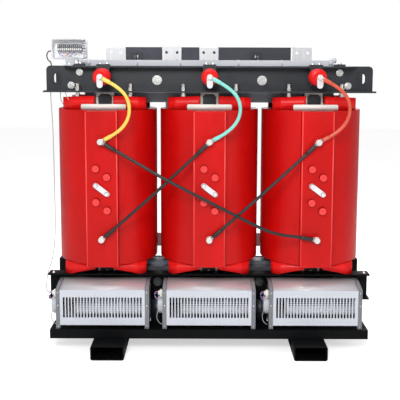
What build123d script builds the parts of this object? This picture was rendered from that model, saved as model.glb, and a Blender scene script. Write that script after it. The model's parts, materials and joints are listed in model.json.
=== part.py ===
from build123d import *
import math
import os

# Dry type transformer, three cast-resin coils on a clamped core, with cross-flow cooling fans.
# Millimetres, +Z up. The high-voltage side faces -Y. The origin is on the floor, under the centre.

# Driving dimensions -----------------------------------------------------------------------------
coil_gap = 16.0
foot_gauge = 820.0
foot_length = 730.0
foot_width = 136.0
foot_height = 60.0
foot_wall = 5.0
riser_width = 110.0
riser_wall = 6.0

clamp_overhang = 155.0
clamp_height = 110.0
clamp_wall = 7.0
flange_reach = 50.0
lower_clamp_z = 189.0
clamp_pressure_gap = 17.0
top_flange_setback = 78.0
lifting_hole_inset = 45.0
lifting_hole_width = 26.0
lifting_hole_height = 42.0
lifting_ring_width = 5.0

window_above_clamp = 26.0
window_below_clamp = 46.0
# Steps of the laminated core: half width and half depth of each packet.
core_steps = ((90.0, 30.0), (71.0, 63.0), (40.0, 90.0))
tie_plate_width = 56.0
tie_plate_thickness = 8.0

hv_outer_radius = 212.0
hv_thickness = 45.0
hv_bottom = 350.0
hv_height = 648.0
hv_pad_width = 131.0
hv_pad_reach = 243.0
hv_edge_radius = 4.0
lv_outer_radius = 137.0
lv_thickness = 30.0
lv_end_gap = 13.0

boss_height = 8.0
tap_boss_radius = 14.0
tap_column_x = 22.5
tap_row_pitch = 34.5
tap_bottom_rise = 118.0
tap_rows = 6
terminal_boss_radius = 20.0
top_terminal_drop = 124.0
bottom_terminal_rise = 122.0

coil_pad_height = 54.0
coil_pad_outer_x = 174.0
coil_pad_shoulder = (141.0, 138.0)
coil_pad_front = 193.0
front_pad_gap = 77.0
rear_pad_gap = 104.0

stud_radius = 8.0
core_stud_radius = 11.0
stud_clearance = 1.0
nut_height = 12.0
jack_offset = 110.0
jack_y = 130.0
jack_radius = 8.0

insulator_rise = 65.0
insulator_length = 98.0
insulator_radius = 30.0
insulator_sheds = 4
bracket_width = 54.0
bracket_thickness = 6.0

phase_lead_diameter = 14.0
delta_lead_diameter = 13.0
lug_thickness = 3.0
lug_reach = 36.0
lug_barrel = 18.0
lug_width = 15.0

lv_bar_width = 90.0
lv_bar_thickness = 8.0
lv_bar_y = 297.0
lv_bar_rise = 91.0
lv_hole_pitch_x = 50.0
lv_hole_pitch_z = 40.0
lv_hole_radius = 6.5
neutral_x = -175.0
neutral_bar_width = 60.0
lv_beam_height = 70.0
lv_beam_depth = 40.0
lv_beam_ends = (-393.0, 387.0)
beam_arm_xs = (-341.0, 224.0)

beam_overhang = 126.0
beam_height = 38.0
beam_depth = 110.0
beam_wall = 4.0
beam_face_y = 280.0

fan_gap = 56.0
fan_height = 164.0
fan_front_y = 268.0
fan_depth = 106.0
fan_sheet = 2.0
fan_post_width = 17.0
fan_post_depth = 14.0
fan_foot = 15.0
slot_count = 26
slot_width = 7.6
slot_pitch = 12.7
slot_low = 47.0
slot_height = 86.0
impeller_radius = 45.0
impeller_start = -118.0
impeller_length = 283.0
impeller_segments = 3
impeller_disc = 2.0
blade_count = 22
blade_depth = 9.0
blade_thickness = 1.6
fan_shaft_radius = 4.0
shaft_clearance = 0.05
bush_length = 12.0
motor_radius = 39.0
motor_length = 21.0
motor_bore_depth = 14.0

junction_box_size = (144.0, 70.0, 80.0)
junction_box_inset = 93.0
junction_box_y = -75.0
junction_box_rise = 31.0
junction_box_wall = 3.0
box_cover_depth = 24.0
duct_size = 24.0
duct_length = 1030.0
cross_tie_width = 43.0
cross_tie_thickness = 8.0
cross_tie_overhang = 8.5
box_cable_diameter = 5.0

# Sizes that follow from them ---------------------------------------------------------------------
coil_pitch = 2 * hv_outer_radius + coil_gap
phase_xs = (-coil_pitch, 0.0, coil_pitch)
hv_top = hv_bottom + hv_height
pad_top = hv_top + coil_pad_height
upper_clamp_z = pad_top + clamp_pressure_gap
core_window_low = lower_clamp_z + clamp_height + window_above_clamp
core_window_high = upper_clamp_z - window_below_clamp
step_half_depth = core_steps[-1][1]
yoke_length = 2 * (coil_pitch + core_steps[0][0])
clamp_length = yoke_length + 2 * clamp_overhang
fan_length = coil_pitch - fan_gap
beam_length = yoke_length + 2 * beam_overhang
top_flange_length = clamp_length - 2 * top_flange_setback
lifting_hole_x = clamp_length / 2 - lifting_hole_inset
cross_tie_x = yoke_length / 2 + cross_tie_overhang
step_half_height = (upper_clamp_z + clamp_height - core_window_high) / 2
web_inner_y = step_half_depth + tie_plate_thickness
web_outer_y = web_inner_y + clamp_wall
flange_y = web_outer_y + flange_reach
lower_clamp_top = lower_clamp_z + clamp_height
upper_clamp_top = upper_clamp_z + clamp_height
lower_yoke_z = core_window_low - step_half_height
upper_yoke_z = core_window_high + step_half_height
top_terminal_z = hv_top - top_terminal_drop
bottom_terminal_z = hv_bottom + bottom_terminal_rise
tap_bottom_z = bottom_terminal_z + tap_bottom_rise
insulator_z = upper_clamp_z + insulator_rise
hv_inner_radius = hv_outer_radius - hv_thickness
lv_inner_radius = lv_outer_radius - lv_thickness
lv_height = hv_height - lv_end_gap
lv_top = hv_bottom + lv_height
lv_bar_top = upper_clamp_top + lv_bar_rise
junction_box_x = junction_box_inset - clamp_length / 2
junction_box_z = upper_clamp_top + junction_box_rise
boss_face_y = hv_pad_reach + boss_height
insulator_base_y = flange_y + bracket_thickness
insulator_face_y = insulator_base_y + insulator_length
fan_base_z = foot_height + beam_height
fan_back_y = fan_front_y - fan_depth
impeller_y = (fan_front_y + fan_back_y) / 2
impeller_z = fan_base_z + slot_low + slot_height / 2
impeller_end = impeller_start + impeller_length
lower_stud_xs = (yoke_length / 2 + 15.0, yoke_length / 2 + 51.0)
stud_places = [
    (lower_stud_xs[0], upper_clamp_z + 83.0, stud_radius),
    (lower_stud_xs[1], upper_clamp_z + 28.0, stud_radius),
    (coil_pitch / 2, upper_clamp_z + 50.0, core_stud_radius),
    (lower_stud_xs[0], lower_clamp_z + 83.0, stud_radius),
    (lower_stud_xs[1], lower_clamp_z + 28.0, stud_radius),
    (coil_pitch / 2, lower_clamp_z + 63.0, core_stud_radius),
]


# Helpers -----------------------------------------------------------------------------------------
def block(x_range, y_range, z_range):
    """A box between two corners."""
    x_mid = sum(x_range) / 2
    y_mid = sum(y_range) / 2
    z_mid = sum(z_range) / 2
    size = [abs(high - low) for low, high in (x_range, y_range, z_range)]
    return Pos(x_mid, y_mid, z_mid) * Box(*size)


def facing_front(sketch, y, depth):
    """A sketch in X and Z, drawn at depth y on the -Y side and extruded towards the viewer."""
    return extrude(Plane.XZ.offset(y) * sketch, depth)


def along_x(sketch, x_start, length):
    """A sketch in Y and Z, extruded along +X."""
    return extrude(Plane.YZ.offset(x_start) * sketch, length)


def rod_y(x, z, radius, y_front, y_back):
    """A round bar along Y."""
    return facing_front(Pos(x, z) * Circle(radius), -y_back, y_back - y_front)


def hex_y(x, z, radius, y_front, y_back):
    """A hexagon nut or head with its axis along Y."""
    return facing_front(Pos(x, z) * RegularPolygon(radius, 6), -y_back, y_back - y_front)


def rear(shape):
    """The same piece on the low-voltage side."""
    return mirror(shape, about=Plane.XZ)


def group(solids):
    """Separate solids in one node."""
    return Compound(children=list(solids))


# Core --------------------------------------------------------------------------------------------
def yoke(z_middle, bolt_z):
    """Stepped yoke with its through holes for the core studs."""
    body = None
    for half_height, half_depth in core_steps:
        height = 2 * half_height * step_half_height / core_steps[0][0]
        packet = Pos(0, 0, z_middle) * Box(yoke_length, 2 * half_depth, height)
        body = packet if body is None else body + packet
    for side in (-1, 1):
        x = side * coil_pitch / 2
        body -= rod_y(x, bolt_z, core_stud_radius + stud_clearance, -web_inner_y, web_inner_y)
    return body


def limb(x, lower_yoke, upper_yoke):
    """Stepped limb, cut to seat on the steps of both yokes."""
    body = None
    for half_width, half_depth in core_steps:
        shape = block((x - half_width, x + half_width), (-half_depth, half_depth), (lower_yoke_z, upper_yoke_z))
        body = shape if body is None else body + shape
    return max((body - lower_yoke - upper_yoke).solids(), key=lambda solid: solid.volume)


def tie_plate(x):
    half = tie_plate_width / 2
    z_range = (lower_clamp_z + 10, upper_clamp_top - 10)
    return block((x - half, x + half), (-web_inner_y, -step_half_depth), z_range)


def yoke_board(x_range, z_middle, bolt_z):
    """Insulating board between a yoke and its clamp, between two tie plates."""
    half_height = core_steps[-1][0] * step_half_height / core_steps[0][0]
    board = block(x_range, (-web_inner_y, -step_half_depth), (z_middle - half_height, z_middle + half_height))
    for side in (-1, 1):
        x = side * coil_pitch / 2
        board -= rod_y(x, bolt_z, core_stud_radius + stud_clearance, -web_inner_y, -step_half_depth)
    return board


def board_spans():
    """Free lengths of the yoke beside its tie plates."""
    half = tie_plate_width / 2
    edges = [-yoke_length / 2]
    for x in phase_xs:
        edges += [x - half, x + half]
    edges.append(yoke_length / 2)
    return list(zip(edges[0::2], edges[1::2]))


def end_board(x, z_range):
    """White board over the tie plate, between coil and clamp."""
    half = front_pad_gap / 2 - 0.5
    return block((x - half, x + half), (-web_inner_y - 3, -web_inner_y), z_range)


def tie_cap(x, z_range):
    """Steel cap with chamfered top corners over the end board."""
    width = tie_plate_width
    face = Pos(x, sum(z_range) / 2) * Rectangle(width, z_range[1] - z_range[0])
    face = chamfer(face.vertices().group_by(Axis.Y)[-1], 11)
    face -= Pos(x, z_range[0]) * Circle(6)
    return facing_front(face, web_inner_y + 3, 5)


# Clamps and feet ---------------------------------------------------------------------------------
def clamp_holes(z_low):
    """Bolt holes of the web at this height."""
    holes = []
    for x, z, radius in stud_places:
        if z_low < z < z_low + clamp_height:
            for side in (-1, 1):
                holes.append(Pos(side * x, z) * Circle(radius + stud_clearance))
    return holes


def clamp_profile_web(z_low, corner):
    face = Pos(0, z_low + clamp_height / 2) * Rectangle(clamp_length, clamp_height)
    if corner > 0:
        face = fillet(face.vertices().group_by(Axis.Y)[-1], corner)
    for hole in clamp_holes(z_low):
        face -= hole
    return face


def flange(z_low, length, chamfer_size=0.0):
    face = Pos(0, -(web_outer_y + flange_y) / 2) * Rectangle(length, flange_reach)
    if chamfer_size > 0:
        face = chamfer(face.vertices().group_by(Axis.Y)[0], chamfer_size)
    return extrude(Pos(0, 0, z_low) * face, clamp_wall)


def lower_clamp():
    """Channel that carries the lower yoke, flanges outwards."""
    web = facing_front(clamp_profile_web(lower_clamp_z, 0), web_inner_y, clamp_wall)
    low = flange(lower_clamp_z, clamp_length)
    high = flange(lower_clamp_top - clamp_wall, clamp_length)
    return web + low + high


def upper_clamp():
    """Channel that presses the upper yoke, with ringed lifting eyes in its ends."""
    face = clamp_profile_web(upper_clamp_z, 18)
    eye_z = upper_clamp_z + 58.0
    rings = None
    for side in (-1, 1):
        eye = Pos(side * lifting_hole_x, eye_z) * Rot(0, 0, 90)
        ring_height = lifting_hole_height + 2 * lifting_ring_width
        ring_width = lifting_hole_width + 2 * lifting_ring_width
        ring = eye * SlotOverall(ring_height, ring_width) - eye * SlotOverall(lifting_hole_height, lifting_hole_width)
        face -= eye * SlotOverall(lifting_hole_height, lifting_hole_width)
        raised = facing_front(ring, web_outer_y - 1, 5)
        rings = raised if rings is None else rings + raised
    web = facing_front(face, web_inner_y, clamp_wall)
    low = flange(upper_clamp_z, clamp_length + 10)
    high = flange(upper_clamp_top - clamp_wall, top_flange_length, 30)
    body = web + low + high + rings
    for x in phase_xs:
        for side in (-1, 1):
            hole = Pos(x + side * jack_offset, -jack_y, upper_clamp_z + clamp_wall / 2)
            body -= hole * Cylinder(jack_radius + stud_clearance, clamp_wall * 2)
    return body


def clamp_stud(x, z, radius):
    """Through stud with a washer and a nut on each clamp."""
    nut = radius * 1.75
    washer = radius * 1.85
    body = rod_y(x, z, radius, -web_outer_y - nut_height - 5, web_outer_y + nut_height + 5)
    for low, high in ((-web_outer_y - 3, -web_outer_y), (web_outer_y, web_outer_y + 3)):
        body += rod_y(x, z, washer, low, high)
    for low, high in ((-web_outer_y - nut_height, -web_outer_y - 3), (web_outer_y + 3, web_outer_y + nut_height)):
        body += hex_y(x, z, nut, low, high)
    return body


def cross_tie(x):
    """Flat bar across both upper clamps."""
    half = cross_tie_width / 2
    return block((x - half, x + half), (-flange_y, flange_y), (upper_clamp_top, upper_clamp_top + cross_tie_thickness))


def foot(x):
    """Rectangular tube with two welded risers that carry the lower clamps."""
    outer = Pos(0, foot_height / 2) * RectangleRounded(foot_width, foot_height, 9)
    inner = Pos(0, foot_height / 2) * RectangleRounded(foot_width - 2 * foot_wall, foot_height - 2 * foot_wall, 5)
    tube = Pos(x, 0, 0) * facing_front(outer - inner, -foot_length / 2, foot_length)
    riser_mid = (lower_clamp_z + foot_height) / 2
    riser = Box(riser_width, flange_reach, lower_clamp_z - foot_height)
    riser -= Box(riser_width - 2 * riser_wall, flange_reach - 2 * riser_wall, lower_clamp_z)
    for side in (-1, 1):
        tube += Pos(x, side * (web_outer_y + flange_reach / 2), riser_mid) * riser
    return tube


def fan_beam():
    """Inverted channel across both feet that carries one row of fans."""
    outer = Rectangle(beam_depth, beam_height)
    inner = Pos(0, -beam_wall) * Rectangle(beam_depth - 2 * beam_wall, beam_height)
    place = Pos(-beam_face_y + beam_depth / 2, foot_height + beam_height / 2)
    return along_x(place * (outer - inner), -beam_length / 2, beam_length)


# Coils -------------------------------------------------------------------------------------------
def hv_plan():
    pad = Pos(0, -hv_pad_reach / 2) * Rectangle(hv_pad_width, hv_pad_reach)
    plan = Circle(hv_outer_radius) + pad
    plan = fillet(plan.vertices().group_by(Axis.Y)[0], 7)
    return plan - Circle(hv_inner_radius)


def tap_places(x):
    """Staggered tap studs, lowest first, alternating right and left."""
    places = []
    for row in range(tap_rows):
        side = 1 if row % 2 == 0 else -1
        places.append((x + side * tap_column_x, tap_bottom_z + row * tap_row_pitch))
    return places


def hv_coil(x):
    """Cast coil with its raised front pad, tap bosses and terminal bosses."""
    body = extrude(hv_plan(), hv_height)
    rim = ShapeList([body.faces().sort_by(Axis.Z)[index].outer_wire().edges() for index in (0, -1)])
    body = fillet([edge for edges in rim for edge in edges], hv_edge_radius)
    body = Pos(x, 0, hv_bottom) * body
    for tap_x, tap_z in tap_places(x):
        boss = facing_front(Pos(tap_x, tap_z) * Circle(tap_boss_radius), hv_pad_reach - 1, boss_height)
        body += boss
    for z in (bottom_terminal_z, top_terminal_z):
        body += facing_front(Pos(x, z) * Circle(terminal_boss_radius), hv_pad_reach - 1, boss_height + 1)
    return body


def lv_coil(x):
    plan = Circle(lv_outer_radius) - Circle(lv_inner_radius)
    return extrude(Pos(x, 0, hv_bottom) * plan, lv_height)


def pad_plan(gap):
    """Plan of one support block, on the right of a coil's front."""
    shoulder_x, shoulder_y = coil_pad_shoulder
    inner_y = web_inner_y + 2
    points = [(gap / 2, -inner_y), (gap / 2, -coil_pad_front), (shoulder_x, -shoulder_y), (coil_pad_outer_x, -inner_y)]
    return make_face(Polyline(*points, close=True))


def support_blocks(x, z_low, height, arched):
    """Four blocks round one end of a coil."""
    blocks = []
    for gap, is_rear in ((front_pad_gap, False), (rear_pad_gap, True)):
        piece = extrude(Pos(0, 0, z_low) * pad_plan(gap), height)
        if arched:
            arch_x = gap / 2 + 34
            arch = rod_y(arch_x, z_low - 12, 42, -coil_pad_front - 1, -flange_y - 2)
            piece -= arch
        pair = [piece, mirror(piece, about=Plane.YZ)]
        if is_rear:
            pair = [rear(one) for one in pair]
        blocks += [Pos(x, 0, 0) * one for one in pair]
    return blocks


def spacer_bar(x):
    """White round-ended bar on the coil, in front of its blocks."""
    face = Pos(x, hv_top + 11.5) * SlotOverall(184, 23)
    return facing_front(face, coil_pad_front, 12)


def jack_bolt(x, y):
    """Vertical pressure bolt through the lower flange of an upper clamp."""
    shaft = Pos(x, y, (pad_top + upper_clamp_z + 36) / 2) * Cylinder(jack_radius, upper_clamp_z + 36 - pad_top)
    nut_z = upper_clamp_z + clamp_wall
    head = Pos(x, y, pad_top) * extrude(RegularPolygon(13, 6), 10)
    nut = Pos(x, y, nut_z) * extrude(RegularPolygon(13, 6), 13)
    return shaft + head + nut


# High-voltage terminals --------------------------------------------------------------------------
def insulator(x):
    """Post insulator with round sheds, axis along Y."""
    base = insulator_base_y
    pitch = insulator_length / (insulator_sheds + 1)
    waist = insulator_radius - 6
    points = [(0, -base), (waist, -base)]
    for shed in range(insulator_sheds):
        y = base + (shed + 1) * pitch
        points += [(waist, -(y - 5)), (insulator_radius, -(y - 3)), (insulator_radius, -(y + 3)), (waist, -(y + 5))]
    points += [(waist, -insulator_face_y), (0, -insulator_face_y)]
    body = revolve(make_face(Polyline(*points, close=True)), Axis.Y)
    return Pos(x, 0, insulator_z) * body


def insulator_bracket(x):
    """Angle on the top flange that holds an insulator."""
    half = bracket_width / 2
    leg_top = upper_clamp_top + bracket_thickness
    leg = block((x - half, x + half), (-insulator_base_y, -flange_y + 26), (upper_clamp_top, leg_top))
    face = block((x - half, x + half), (-insulator_base_y, -flange_y), (insulator_z - 36, leg_top))
    return leg + face


def terminal_plate(x):
    """Round-ended plate under the insulator's bolt."""
    face = Pos(x, insulator_z - 16) * Rot(0, 0, 90) * SlotOverall(56, 24)
    return facing_front(face, insulator_face_y, 4)


insulator_lug_y = insulator_face_y + 4
delta_lug_y = boss_face_y + lug_thickness


def terminal_bolts():
    """Head on each insulator lug, and nut on each coil terminal."""
    bolts = []
    for x in phase_xs:
        face = insulator_lug_y + lug_thickness
        bolts.append(hex_y(x, insulator_z, 10, -face - 8, -face))
        nut = delta_lug_y + lug_thickness
        bolts.append(hex_y(x, top_terminal_z, 11, -nut - 9, -nut))
        bolts.append(hex_y(x, bottom_terminal_z, 11, -nut - 9, -nut))
        bolts.append(rod_y(x, bottom_terminal_z, 12, -delta_lug_y, -boss_face_y))
    return bolts


def tap_bolt(x, z):
    face = boss_face_y - 1
    return hex_y(x, z, 8, -face - 6, -face)


def tap_link(x):
    """White link between the second studs of both columns."""
    places = tap_places(x)
    left = Vector(*places[3])
    right = Vector(*places[2])
    middle = (left + right) * 0.5
    length = (left - right).length + 22
    angle = math.degrees(math.atan2(right.Y - left.Y, right.X - left.X))
    face = Pos(middle.X, middle.Y) * Rot(0, 0, angle) * SlotOverall(length, 21)
    for place in (left, right):
        face -= Pos(place.X, place.Y) * Circle(9)
    return facing_front(face, boss_face_y - 1, 4)


# Cable lugs and leads ----------------------------------------------------------------------------
def lead_centre(lug_y, diameter):
    """Depth of a lead's axis in front of its lug's seat."""
    return -(lug_y + diameter / 2 + 1)


def toward(bolt, target):
    """Unit step from a bolt to the next point of a lead, in X and Z."""
    run = math.hypot(target[0] - bolt[0], target[2] - bolt[1])
    return (target[0] - bolt[0]) / run, (target[2] - bolt[1]) / run


def lead_route(start_bolt, points, end_bolt):
    """Whole route of a lead, from the mouth of one lug to the mouth of the other."""
    route = list(points)
    step_x, step_z = toward(start_bolt, points[0])
    route.insert(0, (start_bolt[0] + lug_reach * step_x, points[0][1], start_bolt[1] + lug_reach * step_z))
    step_x, step_z = toward(end_bolt, points[-1])
    route.append((end_bolt[0] + lug_reach * step_x, points[-1][1], end_bolt[1] + lug_reach * step_z))
    return route


def cord_tube(name, route, diameter):
    """Tube of straight runs and tangent arcs along a route."""
    points = [Vector(*point) for point in route]
    radii = []
    for before, corner, after in zip(points, points[1:], points[2:]):
        turn = (corner - before).get_angle(after - corner)
        shorter = min((corner - before).length, (after - corner).length)
        radii.append(0.45 * shorter / math.tan(math.radians(turn) / 2))
    path = FilletPolyline(*points, radius=radii)
    print(name, "radii", [round(radius) for radius in radii], "length", round(path.length))
    start = Plane(origin=path @ 0, z_dir=path % 0)
    return sweep(start * Circle(diameter / 2), path=path)


def lug(bolt, lug_y, lead_start, diameter):
    """Palm on a bolt and a barrel whose mouth meets the lead."""
    angle = math.degrees(math.atan2(lead_start[2] - bolt[1], lead_start[0] - bolt[0]))
    palm_end = lug_reach - lug_barrel + 4
    palm = Circle(11) + Pos(palm_end / 2, 0) * Rectangle(palm_end, lug_width)
    turned = Pos(bolt[0], bolt[1]) * Rot(0, 0, angle)
    body = facing_front(turned * palm, lug_y, lug_thickness)
    centre_y = lead_centre(lug_y, diameter)
    mouth = Plane(origin=tuple(lead_start), z_dir=(bolt[0] - lead_start[0], 0, bolt[1] - lead_start[2]))
    barrel = extrude(mouth * Circle(diameter / 2 + 1), lug_barrel)
    body += barrel
    assert abs(centre_y - lead_start[1]) < 0.01, "lead is off its lug's axis"
    return body


def phase_lead_route(x, bulge):
    """Loop from an insulator down to the coil's upper terminal."""
    high_y = lead_centre(insulator_lug_y, phase_lead_diameter)
    low_y = lead_centre(boss_face_y, phase_lead_diameter)
    points = [
        (x + 82, high_y, insulator_z - 43.6),
        (x + bulge, high_y + 1, insulator_z - 94),
        (x + bulge, low_y - 5, top_terminal_z + 98),
        (x + 78, low_y, top_terminal_z + 41.5),
    ]
    return lead_route((x, insulator_z), points, (x, top_terminal_z))


def delta_lead_route(start_x, end_x, points):
    return lead_route((start_x, top_terminal_z), points, (end_x, bottom_terminal_z))


delta_y = lead_centre(delta_lug_y, delta_lead_diameter)
lead_cross_x = coil_pitch / 2 - 4
lead_cross_z = (top_terminal_z + bottom_terminal_z) / 2 - 8
phase_routes = {
    "phase_lead_a": phase_lead_route(phase_xs[0], 118),
    "phase_lead_b": phase_lead_route(phase_xs[1], 122),
    "phase_lead_c": phase_lead_route(phase_xs[2], 120),
}
delta_routes = {
    "delta_lead_ac": delta_lead_route(
        phase_xs[0],
        phase_xs[2],
        [
            (phase_xs[0] + 110, delta_y, top_terminal_z - 64),
            (phase_xs[0] + 264, delta_y - 19, top_terminal_z - 152),
            (60, delta_y - 19, bottom_terminal_z + 130),
            (phase_xs[2] - 225, delta_y - 13, bottom_terminal_z + 48),
            (phase_xs[2] - 150, delta_y - 2, bottom_terminal_z + 22),
            (phase_xs[2] - 90, delta_y, bottom_terminal_z + 16),
        ],
    ),
    "delta_lead_ba": delta_lead_route(phase_xs[1], phase_xs[0], [(-lead_cross_x, delta_y, lead_cross_z)]),
    "delta_lead_cb": delta_lead_route(phase_xs[2], phase_xs[1], [(lead_cross_x + 8, delta_y, lead_cross_z)]),
}


def cable_lugs():
    lugs = []
    for x, route in zip(phase_xs, phase_routes.values()):
        lugs.append(lug((x, insulator_z), insulator_lug_y, route[0], phase_lead_diameter))
        lugs.append(lug((x, top_terminal_z), boss_face_y, route[-1], phase_lead_diameter))
    ends = ((0, 2), (1, 0), (2, 1))
    for (start, end), route in zip(ends, delta_routes.values()):
        lugs.append(lug((phase_xs[start], top_terminal_z), delta_lug_y, route[0], delta_lead_diameter))
        lugs.append(lug((phase_xs[end], bottom_terminal_z), delta_lug_y, route[-1], delta_lead_diameter))
    return lugs


# Low-voltage bars --------------------------------------------------------------------------------
def folded_bar(points, width, x):
    """Flat bar folded along a path in Y and Z, which runs half a thickness inside its ends."""
    half = lv_bar_thickness / 2
    path = Polyline(*points)
    strip = offset(path, half, kind=Kind.INTERSECTION, side=Side.BOTH)
    return along_x(make_face(strip), x - width / 2, width)


def bar_holes(x, count_z):
    """Drilled terminal pattern of a low-voltage bar."""
    holes = []
    for row in range(count_z):
        z = lv_bar_top - 28 - row * lv_hole_pitch_z
        for side in (-1, 1):
            hole_x = x + side * lv_hole_pitch_x / 2
            holes.append(rod_y(hole_x, z, lv_hole_radius, lv_bar_y - lv_bar_thickness, lv_bar_y + lv_bar_thickness))
    return holes


def lv_bar(x):
    """Bar from the top of a low-voltage coil, out over the high-voltage coil and up."""
    coil_y = (lv_outer_radius + lv_inner_radius) / 2
    over_z = hv_top + 30
    half = lv_bar_thickness / 2
    ends = ((coil_y, lv_top + half), (lv_bar_y, lv_bar_top - half))
    body = folded_bar([ends[0], (coil_y, over_z), (lv_bar_y, over_z), ends[1]], lv_bar_width, x)
    for hole in bar_holes(x, 2):
        body -= hole
    return body


def neutral_bar():
    """Bar along the coil bottoms with a riser to the top."""
    coil_y = (lv_outer_radius + lv_inner_radius) / 2
    under_z = lower_clamp_top + 18
    bar_y = lv_bar_y - lv_bar_thickness
    body = None
    half = lv_bar_thickness / 2
    for x in phase_xs:
        points = [(coil_y, hv_bottom - half), (coil_y, under_z), (bar_y, under_z)]
        stub = folded_bar(points, neutral_bar_width, x)
        body = stub if body is None else body + stub
    reach = coil_pitch + neutral_bar_width / 2
    body += block((-reach, reach), (bar_y - half, bar_y + half), (under_z - half, under_z + neutral_bar_width))
    side = neutral_bar_width / 2
    riser_top = lv_bar_top - 90
    riser_range = (bar_y + half, bar_y + half + lv_bar_thickness)
    body += block((neutral_x - side, neutral_x + side), riser_range, (under_z, riser_top))
    plate_half = lv_bar_width / 2
    plate = block((neutral_x - plate_half, neutral_x + plate_half), riser_range, (riser_top - 60, lv_bar_top))
    for hole in bar_holes(neutral_x, 2):
        plate -= hole
    return body + plate


def beam_face():
    """Depth of the front of the low-voltage support beam."""
    return lv_bar_y + lv_bar_thickness / 2


def lv_beam():
    """Insulating channel beam behind the low-voltage plates."""
    face = beam_face()
    low = lv_bar_top - 3 - lv_beam_height
    outer = block(lv_beam_ends, (face, face + lv_beam_depth), (low, low + lv_beam_height))
    inner = block(lv_beam_ends, (face + 8, face + lv_beam_depth), (low + 8, low + lv_beam_height - 8))
    return outer - inner


def beam_arm(x):
    """Folded flat from the rear clamp to the support beam."""
    face = beam_face()
    leg = block((x - 27, x + 27), (web_outer_y, face), (upper_clamp_top, upper_clamp_top + 8))
    plate = block((x - 27, x + 27), (face - 8, face), (upper_clamp_top, lv_bar_top - 26))
    rib_face = make_face(Polyline((web_outer_y + 20, 0), (face - 8, 0), (face - 8, 50), close=True))
    rib = along_x(Pos(0, upper_clamp_top + 8) * rib_face, x - 3, 6)
    bolt = rear(hex_y(x, lv_bar_top - 48, 12, -(face - 8), -(face - 17)))
    return leg + plate + rib + bolt


# Junction box, duct and cable ----------------------------------------------------------------------
def box_bracket():
    """Folded plate from the front clamp's top flange to the junction box."""
    box_x, box_y, _ = junction_box_size
    leg_x = (junction_box_x - 12, junction_box_x + 28)
    leg = block(leg_x, (-flange_y + 5, -web_inner_y), (upper_clamp_top, upper_clamp_top + 4))
    web = block(leg_x, (-web_inner_y - 4, -web_inner_y), (upper_clamp_top, junction_box_z))
    low_x = junction_box_x - box_x / 2 + 8
    high_x = junction_box_x + box_x / 2 - 8
    shelf_y = (-web_inner_y - 4, junction_box_y + box_y / 2)
    shelf = block((low_x, high_x), shelf_y, (junction_box_z - 4, junction_box_z))
    return leg + web + shelf


def box_shell(y_front, y_back, wall, open_front):
    """Five-sided shell of the junction box."""
    size_x, _, size_z = junction_box_size
    z_range = (junction_box_z, junction_box_z + size_z)
    x_range = (junction_box_x - size_x / 2, junction_box_x + size_x / 2)
    outer = block(x_range, (y_front, y_back), z_range)
    outer = fillet(outer.edges().filter_by(Axis.Y), 5)
    inner_x = (x_range[0] + wall, x_range[1] - wall)
    inner_z = (z_range[0] + wall, z_range[1] - wall)
    inner_y = (y_front, y_back - wall) if open_front else (y_front + wall, y_back)
    return outer - block(inner_x, inner_y, inner_z)


box_front = junction_box_y - junction_box_size[1] / 2
box_back = junction_box_y + junction_box_size[1] / 2
box_split = box_front + box_cover_depth


def box_base():
    """Tray of the junction box, with its cable gland."""
    base = box_shell(box_split, box_back, junction_box_wall, True)
    gland_x = junction_box_x - junction_box_size[0] / 2
    gland = Plane(origin=(gland_x + 1, box_cable_y, box_cable_z), z_dir=(-1, 0, 0)) * Circle(6)
    return base + extrude(gland, 5)


def terminal_strip():
    """Row of terminals on the back of the tray."""
    width = junction_box_size[0] * 0.72
    back = box_back - junction_box_wall
    x_low = junction_box_x - width / 2
    z_low = junction_box_z + 30
    strip = block((x_low, x_low + width), (back - 26, back), (z_low, z_low + 14))
    ways = 12
    pitch = width / ways
    for way in range(ways):
        middle = x_low + (way + 0.5) * pitch
        strip += block((middle - 0.35 * pitch, middle + 0.35 * pitch), (back - 26, back - 4), (z_low + 14, z_low + 28))
    return strip


def wiring_duct():
    """Square duct along the front clamp's top flange."""
    tube = Rectangle(duct_size, duct_size) - Rectangle(duct_size - 4, duct_size - 4)
    place = Pos(-web_outer_y - duct_size / 2, upper_clamp_top + duct_size / 2)
    return along_x(place * tube, -duct_length / 2, duct_length)


box_cable_y = -72.0
box_cable_z = junction_box_z + 30
gland_mouth = junction_box_x - junction_box_size[0] / 2 - 4
web_middle_y = -(web_inner_y + web_outer_y) / 2
box_cable_route = [
    (gland_mouth, box_cable_y, box_cable_z),
    (gland_mouth - 11, box_cable_y, box_cable_z),
    (gland_mouth - 18, box_cable_y - 2, box_cable_z - 9),
    (gland_mouth - 19, box_cable_y - 8, box_cable_z - 24),
    (gland_mouth - 10, box_cable_y - 20, box_cable_z - 40),
    (gland_mouth + 4, web_middle_y, upper_clamp_top + 14),
    (gland_mouth + 4, web_middle_y, upper_clamp_top),
]


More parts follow.
